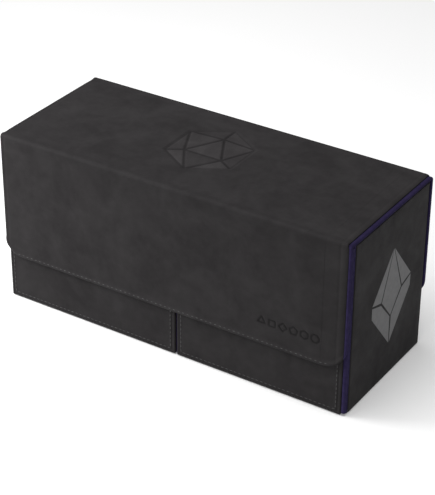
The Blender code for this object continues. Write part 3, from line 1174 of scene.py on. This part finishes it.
@dataclass
class Seam:
    """A row of sewn stitches along a route on a face."""

    route: Array
    outward: Array
    pitch: float = 2.8 * MM
    length: float = 2.1 * MM
    radius: float = 0.31 * MM
    sunk: float = 0.05 * MM
    sides: int = 6

    def build(self, name: str, finish: bpy.types.Material) -> bpy.types.Object:
        """Return all stitches as one piece of closed capsules.

        A stitch is a tube whose radius is r sqrt(1 - (2s)^4) at share s along it, and
        whose middle stands higher than its ends, where the thread goes into the hole.

        Args:
            name: the piece's name.
            finish: the thread's material.

        Returns:
            The row of stitches.
        """
        steps = np.linalg.norm(np.diff(self.route, axis=0), axis=1)
        along = np.concatenate(([0.0], np.cumsum(steps)))
        count = max(1, int(along[-1] / self.pitch))
        centre = (np.arange(count) + 0.5) * along[-1] / count
        share = np.array((-0.5, -0.44, -0.25, 0.0, 0.25, 0.44, 0.5))
        spot = np.clip(centre[:, None] + share[None, :] * self.length, 0.0, along[-1])
        middle = np.stack([np.interp(spot, along, self.route[:, axis]) for axis in range(3)], axis=-1)
        run = np.gradient(middle, axis=1)
        run /= np.linalg.norm(run, axis=-1, keepdims=True)
        up = np.broadcast_to(self.outward, run.shape)
        across = np.cross(run, up)
        thick = self.radius * np.sqrt(np.clip(1.0 - (2.0 * share) ** 4, 0.03, 1.0))
        lift = -self.sunk - self.radius * (2.0 * share) ** 4
        angle = np.linspace(0.0, 2.0 * np.pi, self.sides, endpoint=False)
        ring = (middle[:, :, None] + up[:, :, None] * (lift[:, None, None])
                + across[:, :, None] * (np.cos(angle)[:, None] * thick[:, None, None])
                + up[:, :, None] * (np.sin(angle)[:, None] * thick[:, None, None]))
        quads = ring_quads(len(share), self.sides)
        size = len(share) * self.sides
        first_cap = np.arange(self.sides)
        caps = [first_cap[::-1], first_cap + size - self.sides]
        if signed_volume(ring[0].reshape(-1, 3), quads, caps) < 0:
            quads, caps = quads[:, ::-1], [cap[::-1] for cap in caps]
        offset = np.arange(count) * size
        faces = (offset[:, None, None] + quads[None]).reshape(-1, 4).tolist()
        for cap in caps:
            faces += (offset[:, None] + cap[None]).tolist()
        return make_object(name, ring.reshape(-1, 3), faces, finish, 1.2)


def rounded_rings(stations: Array, place: Callable[[Array, Array, Array], Array], half: float,
                  low: Array, high: Array, round_start: bool, round_end: bool, step: float,
                  radius: float | None = None,
                  dent: Callable[[Array, Array], Array] | None = None) -> Array:
    """Return rings of a slab with rounded edges.

    At distance d from a rounded end the outer face lies r - sqrt(r^2 - (r - d)^2) lower,
    and the slab's other edges draw in by as much as it thins.

    Args:
        stations: ascending places along the slab.
        place: turns (along, height, depth) into places in space; depth is +half on the
            slab's outer face.
        half: half the slab's thickness.
        low, high: the slab's lower and upper edge at each station.
        round_start, round_end: which ends are rounded.
        step: spacing of points up the outer face.
        radius: the edges' radius, or half the thickness if left out.
        dent: optional depth of marks on the outer face by (along, height).

    Returns:
        Places shaped (station, point, 3).
    """
    radius = half if radius is None else radius
    core = half - radius
    near = np.full(len(stations), radius)
    if round_start:
        near = np.minimum(near, stations - stations[0])
    if round_end:
        near = np.minimum(near, stations[-1] - stations)
    thin = 0.04 * MM
    bulge = np.sqrt(np.maximum(radius ** 2 - (radius - near) ** 2, thin ** 2))[:, None]
    up_count = max(4, math.ceil(float(np.max(high - low)) / step))
    foot, head = (low + radius)[:, None], (high - radius)[:, None]
    height = foot + (head - foot) * np.linspace(0.0, 1.0, up_count)
    along = np.broadcast_to(stations[:, None], height.shape)
    outer = np.broadcast_to(core + bulge, height.shape)
    if dent is not None:
        outer = outer - dent(along, height)
    turn = np.radians(np.linspace(0.0, 180.0, 13))[1:-1]
    edge_y = core * np.sign(np.round(np.cos(turn), 6)) + bulge * np.cos(turn)
    back_z = foot + (head - foot) * np.linspace(1.0, 0.0, 6)
    back_y = np.broadcast_to(-core - bulge, back_z.shape)
    z = np.concatenate((height, head + bulge * np.sin(turn), back_z, foot - bulge * np.sin(turn)), axis=1)
    y = np.concatenate((outer, edge_y, back_y, -edge_y), axis=1)
    return place(np.broadcast_to(stations[:, None], z.shape), z, y)


def end_stations(low: float, high: float, radius: float, round_low: bool, round_high: bool,
                 step: float) -> Array:
    """Return stations along a slab, closer where an end is rounded by 1 - cos spacing.

    Args:
        low, high: where the slab starts and ends.
        radius: the radius of its rounded ends.
        round_low, round_high: which ends are rounded.
        step: the largest spacing between them.

    Returns:
        Ascending places along the slab.
    """
    ease = radius * (1.0 - np.cos(np.radians(np.linspace(0.0, 90.0, 9))))
    start = low + (ease if round_low else np.zeros(1))
    stop = high - (ease[::-1] if round_high else np.zeros(1))
    middle = spaced((start[-1], stop[0]), (step,))[1:-1]
    return np.concatenate((start, middle, stop))


@dataclass
class Leaf:
    """The stitched leather-covered front of one tray."""

    word: str
    finishes: Finishes
    seam_inset: float = 2.95 * MM
    seam_turn: float = 1.2 * MM
    stitch_length: float = 2.65 * MM
    crease_inset: float = 1.95 * MM
    crease_depth: float = 0.26 * MM
    crease_width: float = 0.42 * MM
    welt_height: float = 0.14 * MM
    edge_radius: float = 0.7 * MM
    bead_gap: float = 0.7 * MM
    bead_above: float = 1.4 * MM
    bead_shallow: float = 0.25 * MM
    band: float = 4.2 * MM
    lap: float = 1.3 * MM

    @property
    def right(self) -> bool:
        """Return whether this is the right leaf."""
        return self.word == "right"

    def span(self) -> tuple[float, float]:
        """Return the leather's lowest and highest x: short of its bead, or lapping over it.

        Returns:
            Low x and high x.
        """
        low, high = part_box(f"{self.word}_leaf_skin")
        if self.right:
            return low.x, high.x - self.bead_gap
        return low.x - self.lap, high.x

    def build(self) -> list[bpy.types.Object]:
        """Return the leaf's panel, bound edge and stitches."""
        return [self.build_panel(), self.build_binding(), self.build_stitches()]

    def build_panel(self) -> bpy.types.Object:
        """Return the leather-covered panel, creased all round inside its edges.

        Returns:
            The panel.
        """
        skin_low, skin_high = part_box(f"{self.word}_leaf_skin")
        lining_low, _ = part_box(f"{self.word}_leaf_lining")
        half = (lining_low.y - skin_low.y) / 2
        middle_y = (lining_low.y + skin_low.y) / 2
        low_x, high_x = self.span()
        low_z, high_z = skin_low.z, skin_high.z

        def crease(x: Array, z: Array) -> Array:
            """Return a soft trench, and a welt beside it, inside the leaf's outline: h e^-(d/w)^2.

            Args:
                x, z: places on the leaf.

            Returns:
                How far the face is pressed in at each place.
            """
            inside = np.minimum(np.minimum(x - low_x, high_x - x), np.minimum(z - low_z, high_z - z))
            return sum(height * np.exp(-((inside - inset) / self.crease_width) ** 2)
                       for height, inset in ((self.crease_depth, self.crease_inset),
                                             (-self.welt_height, self.seam_inset)))

        def place(x: Array, z: Array, depth: Array) -> Array:
            """Return places with the outer face towards -Y."""
            return np.stack((x, middle_y - depth, z), axis=-1)

        ease = self.edge_radius * (1.0 - np.cos(np.radians(np.linspace(0.0, 90.0, 7))))
        close, coarse = 0.2 * MM, 4.0 * MM
        start, stop = low_x + ease, high_x - ease[::-1]
        inner = spaced((start[-1], low_x + self.band, high_x - self.band, stop[0]), (close, coarse, close))
        stations = np.concatenate((start, inner[1:-1], stop))
        rings = rounded_rings(stations, place, half, np.full(len(stations), low_z),
                              np.full(len(stations), high_z), True, True, 0.3 * MM,
                              self.edge_radius, crease)
        panel = loft(f"{self.word}_leaf_leather", rings, self.finishes.leather)
        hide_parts(f"{self.word}_leaf_skin", f"{self.word}_leaf_board")
        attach(panel, f"{self.word}_tray")
        return panel

    def build_binding(self) -> bpy.types.Object:
        """Return the leaf's bound edge, a bead beside the leather or mostly behind it.

        Returns:
            The bound edge.
        """
        low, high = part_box(f"{self.word}_leaf_binding")
        low_x, high_x = self.span()
        z = spaced((low.z + self.bead_above, high.z), (8.0 * MM,))
        shallow = self.bead_shallow if self.right else self.lap
        width = high.x - high_x + 0.1 * MM if self.right else high.x - low.x
        across, up = bead_outline(np.full(len(z), width), high.y - low.y - shallow)
        x = high.x - width + across if self.right else low.x + width - across
        rings = np.stack((x, high.y - up, np.broadcast_to(z[:, None], x.shape)), axis=-1)
        piece = loft(f"{self.word}_leaf_edge", rings, self.finishes.binding)
        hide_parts(f"{self.word}_leaf_binding")
        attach(piece, f"{self.word}_tray")
        return piece

    def build_stitches(self) -> bpy.types.Object:
        """Return the stitches along a closed route inside the leaf's edges.

        Returns:
            The stitches.
        """
        low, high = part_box(f"{self.word}_leaf_skin")
        low_x, high_x = self.span()
        inset, turn = self.seam_inset, self.seam_turn
        left, right = low_x + inset + turn, high_x - inset - turn
        foot, head = low.z + inset + turn, high.z - inset - turn
        corners = ((right, head, 0.0), (left, head, 90.0), (left, foot, 180.0), (right, foot, 270.0))
        flat = np.concatenate([arc((x, z), turn, angle, angle + 90.0, 6) for x, z, angle in corners])
        flat = np.concatenate((flat, flat[:1]))
        route = np.stack((flat[:, 0], np.full(len(flat), low.y), flat[:, 1]), axis=-1)
        seam = Seam(route, np.array((0.0, -1.0, 0.0)), length=self.stitch_length)
        piece = seam.build(f"{self.word}_leaf_stitches", self.finishes.thread)
        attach(piece, f"{self.word}_tray")
        return piece


@dataclass
class Tray:
    """The inside of one tray: its cloth-lined box, floor pad and divider."""

    word: str
    finishes: Finishes
    cloth: float = 0.5 * MM
    corner: float = 2.0 * MM
    pad_soft: float = 3.0 * MM
    pad_corner: float = 4.0 * MM
    pad_fill: float = 0.9
    scoop_radius: float = 12.0 * MM
    scoop_depth: float = 8.0 * MM

    def build(self) -> list[bpy.types.Object]:
        """Return the tray's cloth, floor pad and divider."""
        return [self.build_lining(), self.build_pad(), self.build_divider()]

    @staticmethod
    def ring(low: Vector, high: Vector, inset: float, corner: float, z: float) -> Array:
        """Return a rounded rectangle at height z, drawn in from a box by inset.

        Args:
            low, high: the box's corners.
            inset: how far the ring is drawn in.
            corner: the box's corner radius.
            z: the ring's height.

        Returns:
            Places, one row each.
        """
        radius = max(corner - inset, 0.2 * MM)
        left, right = low.x + inset + radius, high.x - inset - radius
        front, back = low.y + inset + radius, high.y - inset - radius
        corners = ((right, back, 0.0), (left, back, 90.0), (left, front, 180.0), (right, front, 270.0))
        flat = np.concatenate([arc((x, y), radius, angle, angle + 90.0, 7) for x, y, angle in corners])
        return np.concatenate((flat, np.full((len(flat), 1), z)), axis=1)

    def build_lining(self) -> bpy.types.Object:
        """Return the cloth that lines the box and turns over its top edge.

        The rings go from the floor up the inside, over the board's edge on a half
        round, and back down behind the cloth to the underside of its floor.

        Returns:
            The lining.
        """
        box_low, box_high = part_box(f"{self.word}_tray_box")
        low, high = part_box(f"{self.word}_tray_lining")
        wall = low.x - box_low.x
        floor_z, top_z = low.z + self.cloth, box_high.z
        reach = wall + self.cloth
        bead = reach / 2
        levels = [(reach, floor_z)] + [(reach, z) for z in np.linspace(floor_z, top_z, 10)[1:]]
        angle = np.radians(np.linspace(0.0, 180.0, 9)[1:-1])
        levels += [(bead + bead * math.cos(a), top_z + 0.9 * bead * math.sin(a)) for a in angle]
        levels += [(0.0, top_z + 0.05 * MM), (wall, top_z + 0.04 * MM), (wall, low.z)]
        corner = self.corner + reach
        rings = np.stack([self.ring(box_low, box_high, inset, corner, z) for inset, z in levels])
        piece = loft(f"{self.word}_tray_cloth", rings, self.finishes.lining)
        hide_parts(f"{self.word}_tray_lining")
        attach(piece, f"{self.word}_tray")
        return piece

    def build_pad(self) -> bpy.types.Object:
        """Return the felt-faced floor pad, a crowned slab with soft edges.

        At share s of the way in from its edge the pad's height is
        h (1 - (1 - s)^4)^(1/4) over the first 3 mm.

        Returns:
            The pad.
        """
        low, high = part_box(f"{self.word}_tray_pad")
        depth, soft = high.z - low.z, self.pad_soft
        share = 1.0 - np.cos(np.radians(np.linspace(0.0, 90.0, 9)))
        rise = (1.0 - (1.0 - share) ** 4) ** 0.25
        levels = [(0.3 * MM, low.z)]
        levels += [(soft * s, low.z + depth * (0.35 + 0.6 * r)) for s, r in zip(share, rise)]
        levels += [(soft + step, high.z - depth * 0.05 * (1.0 - step / (30.0 * MM)))
                   for step in (4.0 * MM, 12.0 * MM, 24.0 * MM)]
        rings = np.stack([self.ring(low, high, inset, self.pad_corner, z) for inset, z in levels])
        piece = loft(f"{self.word}_floor_pad", rings, self.finishes.felt)
        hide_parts(f"{self.word}_tray_pad")
        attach(piece, f"{self.word}_tray")
        return piece

    def build_divider(self) -> bpy.types.Object:
        """Return the divider: a rounded slab whose top dips in a thumb scoop.

        The scoop is an arc of the given radius, sunk by its depth below the top edge.

        Returns:
            The divider.
        """
        low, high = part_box(f"{self.word}_divider")
        half = (high.x - low.x) / 2
        middle_x = (high.x + low.x) / 2
        centre_y = (high.y + low.y) / 2
        above = self.scoop_radius - self.scoop_depth
        reach = math.sqrt(self.scoop_radius ** 2 - above ** 2)
        ease = half * (1.0 - np.cos(np.radians(np.linspace(0.0, 90.0, 9))))
        beside, close, coarse = 3.0 * MM, 0.5 * MM, 4.0 * MM
        inner = spaced((low.y + half, centre_y - reach - beside, centre_y + reach + beside, high.y - half),
                       (coarse, close, coarse))[1:-1]
        stations = np.concatenate((low.y + ease, inner, high.y - ease[::-1]))
        off = np.abs(stations - centre_y)
        dip = np.maximum(np.sqrt(np.maximum(self.scoop_radius ** 2 - off ** 2, 0.0)) - above, 0.0)

        def place(y: Array, z: Array, depth: Array) -> Array:
            """Return places with the slab standing across the tray."""
            return np.stack((middle_x + depth, y, z), axis=-1)

        rings = rounded_rings(stations, place, half, np.full(len(stations), low.z), high.z - dip,
                              True, True, 6.0 * MM)
        piece = loft(f"{self.word}_divider_felt", rings, self.finishes.felt)
        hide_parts(f"{self.word}_divider")
        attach(piece, f"{self.word}_divider")
        return piece


@dataclass
class Body:
    """The tray holder: leather-covered walls, floor, partition and the end's print."""

    fit: Fit
    finishes: Finishes
    corner: float = 1.4 * MM
    soft: float = 0.6 * MM
    strip: float = 1.6 * MM
    strip_sunk: float = 0.4 * MM
    strip_tuck: float = 0.25 * MM
    strip_short: float = 0.2 * MM
    inner_corner: float = 0.1 * MM
    wall_foot: float = 0.1 * MM
    floor_inset: float = 0.4 * MM
    print_centre: tuple[float, float] = (4.35 * MM, 51.45 * MM)
    print_half_width: float = 22.5 * MM
    print_half_height: float = 30.6 * MM
    print_gap: float = 0.9 * MM
    ink: float = 0.06 * MM

    def build(self) -> list[bpy.types.Object]:
        """Return the body's pieces."""
        return [self.build_walls(), self.build_strip(1, "right"), self.build_strip(-1, "left"),
                self.build_floor(), self.build_partition(), self.build_print()]

    def build_walls(self) -> bpy.types.Object:
        """Return the two ends and the back as one leather-covered wall.

        An outer and an inner line run round three sides, with matching quarter circles
        at the corners; the section is a slab between them with soft edges.

        Returns:
            The wall.
        """
        low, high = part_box("body_wrap")
        inner_low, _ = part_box("right_end_board")
        wall = high.x - inner_low.x
        half = wall / 2
        centre_x, centre_y = high.x - self.corner, high.y - self.corner
        front = end_stations(low.y + self.strip, centre_y, self.soft, True, False, 5.0 * MM)
        run = spaced((-centre_x, centre_x), (8.0 * MM,))[1:-1][::-1]
        lines = []
        for x_face, y_face, radius in ((high.x, high.y, self.corner),
                                       (high.x - wall, high.y - wall, self.inner_corner)):
            bend = arc((x_face - radius, y_face - radius), radius, 0.0, 90.0, 9)
            side_y = np.interp(front, (front[0], front[-1]), (front[0], y_face - radius))
            side = np.stack((np.full(len(front), x_face), side_y), axis=-1)
            half_line = np.concatenate((side, bend[1:]))
            lines.append(np.concatenate((half_line, np.stack((run, np.full(len(run), y_face)), -1),
                                         (half_line * (-1, 1))[::-1])))
        outer, inner = lines
        middle, reach = (outer + inner) / 2, (outer - inner) / 2 / half
        steps = np.linalg.norm(np.diff(outer, axis=0), axis=1)
        along = np.concatenate(([0.0], np.cumsum(steps)))

        def place(station: Array, z: Array, depth: Array) -> Array:
            """Return places between the wall's two lines."""
            rows = np.searchsorted(along, station[:, 0])
            flat = middle[rows][:, None] + reach[rows][:, None] * depth[..., None]
            return np.concatenate((flat, z[..., None]), axis=-1)

        count = len(along)
        rings = rounded_rings(along, place, half, np.full(count, self.wall_foot), np.full(count, high.z),
                              True, True, 6.0 * MM, self.soft)
        piece = loft("wall_leather", rings, self.finishes.leather)
        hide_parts("body_wrap", "left_end_board", "right_end_board", "back_board")
        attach(piece, "case")
        return piece

    def build_strip(self, end: int, word: str) -> bpy.types.Object:
        """Return the bound front edge of one end wall.

        Args:
            end: 1 for the right end, -1 for the left.
            word: the end's name.

        Returns:
            The bound edge.
        """
        low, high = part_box("body_wrap")
        inner_low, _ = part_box("right_end_board")
        z = spaced((self.strip_short, high.z - self.strip_short), (8.0 * MM,))
        deep = high.x - inner_low.x - self.strip_sunk
        wide = self.strip + self.strip_tuck
        across, up = bead_outline(np.full(len(z), wide), deep)
        y = low.y + wide - across
        rings = np.stack((end * (inner_low.x + up), y, np.broadcast_to(z[:, None], y.shape)), axis=-1)
        piece = loft(f"{word}_end_edge", rings, self.finishes.binding)
        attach(piece, "case")
        return piece

    def build_floor(self) -> bpy.types.Object:
        """Return the leather-covered floor, a slab with soft lower edges.

        Returns:
            The floor.
        """
        low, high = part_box("base_skin")
        _, board_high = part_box("base_board")
        inset = self.floor_inset
        levels = [(inset + 1.2 * MM, low.z), (inset + 0.35 * MM, low.z + 0.1 * MM),
                  (inset, low.z + 0.5 * MM), (inset, board_high.z - 0.4 * MM),
                  (inset + 0.4 * MM, board_high.z)]
        rings = np.stack([Tray.ring(low, high, step, self.corner, z) for step, z in levels])
        piece = loft("floor_leather", rings, self.finishes.leather)
        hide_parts("base_skin", "base_board")
        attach(piece, "case")
        return piece

    def build_partition(self) -> bpy.types.Object:
        """Return the board partition between the trays, with a rounded front edge.

        Returns:
            The partition.
        """
        low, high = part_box("partition")
        half = (high.x - low.x) / 2
        middle_x = (high.x + low.x) / 2
        stations = end_stations(low.y, high.y, half, True, False, 8.0 * MM)

        def place(y: Array, z: Array, depth: Array) -> Array:
            """Return places with the slab standing across the case."""
            return np.stack((middle_x + depth, y, z), axis=-1)

        count = len(stations)
        rings = rounded_rings(stations, place, half, np.full(count, low.z), np.full(count, high.z),
                              True, False, 8.0 * MM)
        piece = loft("partition_board", rings, self.finishes.black_board)
        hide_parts("partition")
        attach(piece, "case")
        return piece

    def build_print(self) -> bpy.types.Object:
        """Return the ink print on the right end: the faces of a ten-sided die.

        Each face is a polygon drawn in towards its own centre by half the gap, given
        the ink's thickness.

        Returns:
            The print.
        """
        y, z = self.print_centre
        wide, tall = self.print_half_width, self.print_half_height
        top, foot = (0.0, 1.0), (0.0, -1.0)
        left, right = (-1.0, 0.12), (1.0, 0.12)
        left_low, right_low = (-1.0, -0.12), (1.0, -0.12)
        brow_left, brow_right, chin = (-0.52, 0.02), (0.52, 0.02), (0.0, -0.42)
        shapes = ((top, brow_left, chin, brow_right), (top, left, brow_left), (top, brow_right, right),
                  (left, left_low, foot, chin, brow_left), (right, brow_right, chin, foot, right_low))
        surface = self.fit.body_x
        points: list[Array] = []
        faces: list[list[int]] = []
        for shape in shapes:
            corners = np.array(shape) * (wide, tall) + (y, z)
            middle = corners.mean(axis=0)
            away = corners - middle
            corners = middle + away * (1.0 - self.print_gap / np.linalg.norm(away, axis=1, keepdims=True))
            count, start = len(corners), sum(len(part) for part in points)
            for x in (surface - self.ink, surface + self.ink):
                points.append(np.column_stack((np.full(count, x), corners)))
            ring = start + np.arange(count)
            if np.cross(corners[1] - corners[0], corners[2] - corners[1]) < 0:
                ring = ring[::-1]
            after = np.roll(ring, -1)
            faces += [(ring + count).tolist(), ring[::-1].tolist()]
            faces += np.stack((ring, after, after + count, ring + count), axis=-1).tolist()
        piece = make_object("end_print", np.concatenate(points), faces, self.finishes.ink, 0.5)
        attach(piece, "case")
        return piece


@dataclass
class Hardware:
    """Frame nodes that keep their shape and only get a finish."""

    nodes: dict
    finishes: Finishes

    def dress(self) -> None:
        """Give each magnet, keeper, tray shell and leaf lining of the frame its material."""
        finishes = {"magnet": self.finishes.nickel, "keeper": self.finishes.nickel,
                    "tray_box": self.finishes.black_board, "leaf_lining": self.finishes.lining}
        for name, node in self.nodes.items():
            for word, finish in finishes.items():
                if word in name:
                    node.data.materials.clear()
                    node.data.materials.append(finish)


# Studio ------------------------------------------------------------------------


@dataclass(frozen=True)
class Lamp:
    """A square soft box aimed at the case."""

    name: str
    place: tuple[float, float, float]
    size: float
    power: float


@dataclass
class Studio:
    """Camera, floor and lights."""

    eye: tuple[float, float, float] = (0.4659, -0.7232, 0.5554)
    azimuth: float = 32.571
    elevation: float = 30.570
    roll: float = 0.4725
    lens: float = 128.1
    floor_size: float = 8.0
    floor_gap: float = 0.2 * MM
    floor_glow: float = 0.2
    surround: float = 0.10
    aim: tuple[float, float, float] = (0.0, 0.0, 0.05)
    lamps: tuple[Lamp, ...] = (Lamp("overhead", (-0.12, -0.30, 1.5), 1.4, 26.5),
                               Lamp("key", (-0.36, -0.20, 0.24), 0.2, 1.7))

    def build(self) -> None:
        """Put the camera, the floor and the lights in place."""
        self.add_camera()
        self.add_floor()
        self.add_lights()

    def add_camera(self) -> None:
        """Add the camera, looking back along the direction of its azimuth and elevation."""
        azimuth, elevation, roll = np.radians((self.azimuth, self.elevation, self.roll)).tolist()
        back = Vector((math.sin(azimuth) * math.cos(elevation), -math.cos(azimuth) * math.cos(elevation),
                       math.sin(elevation)))
        right = Vector((math.cos(azimuth), math.sin(azimuth), 0.0))
        up = back.cross(right)
        tilted_right = math.cos(roll) * right + math.sin(roll) * up
        tilted_up = math.cos(roll) * up - math.sin(roll) * right
        data = bpy.data.cameras.new("view")
        data.lens = self.lens
        data.sensor_width = 36.0
        data.clip_start = 0.01
        camera = bpy.data.objects.new("view", data)
        camera.matrix_world = (Matrix.Translation(self.eye)
                               @ Matrix((tilted_right, tilted_up, back)).transposed().to_4x4())
        bpy.context.scene.collection.objects.link(camera)
        bpy.context.scene.camera = camera

    def add_floor(self) -> None:
        """Add a plain pale floor."""
        finish = Finish("pale_floor")
        tone = finish.noise(3.0, 2.0)
        material = finish.dress(
            {"Base Color": finish.mixed(tone, (0.80, 0.80, 0.80), (0.84, 0.84, 0.84))},
            {"Roughness": 0.9, "Specular IOR Level": 0.1, "Emission Strength": self.floor_glow,
             "Emission Color": WHITE})
        half = self.floor_size / 2
        corners = np.array(((-half, -half), (half, -half), (half, half), (-half, half)))
        corners = np.column_stack((corners, np.full(4, -self.floor_gap)))
        floor = make_object("studio_floor", corners, [[0, 1, 2, 3]], material)

    def add_lights(self) -> None:
        """Add a large soft box overhead, a key at the front left and an even white surround."""
        world = bpy.context.scene.world or bpy.data.worlds.new("surround")
        bpy.context.scene.world = world
        world.use_nodes = True
        background = world.node_tree.nodes["Background"]
        background.inputs["Color"].default_value = WHITE
        background.inputs["Strength"].default_value = self.surround
        bpy.context.scene.view_settings.view_transform = "Standard"
        for lamp in self.lamps:
            data = bpy.data.lights.new(lamp.name, "AREA")
            data.shape = "SQUARE"
            data.size = lamp.size
            data.energy = lamp.power
            box = bpy.data.objects.new(lamp.name, data)
            box.location = lamp.place
            toward = Vector(self.aim) - Vector(lamp.place)
            box.rotation_euler = toward.to_track_quat("-Z", "Y").to_euler()
            bpy.context.scene.collection.objects.link(box)


def main() -> None:
    """Build the case's looks round the frame and report each piece."""
    logging.basicConfig(level=logging.INFO, format="%(name)s: %(message)s")
    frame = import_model()
    fit = Fit.read()
    finishes = Finishes.build()
    Studio().build()
    Hardware(frame["nodes"], finishes).dress()
    pieces = Cover(fit, finishes).build()
    pieces += Body(fit, finishes).build()
    for word in ("left", "right"):
        pieces += Leaf(word, finishes).build()
        pieces += Tray(word, finishes).build()
    for piece in pieces:
        LOG.info("%s: %d faces", piece.name, len(piece.data.polygons))


if __name__ == "__main__":
    main()
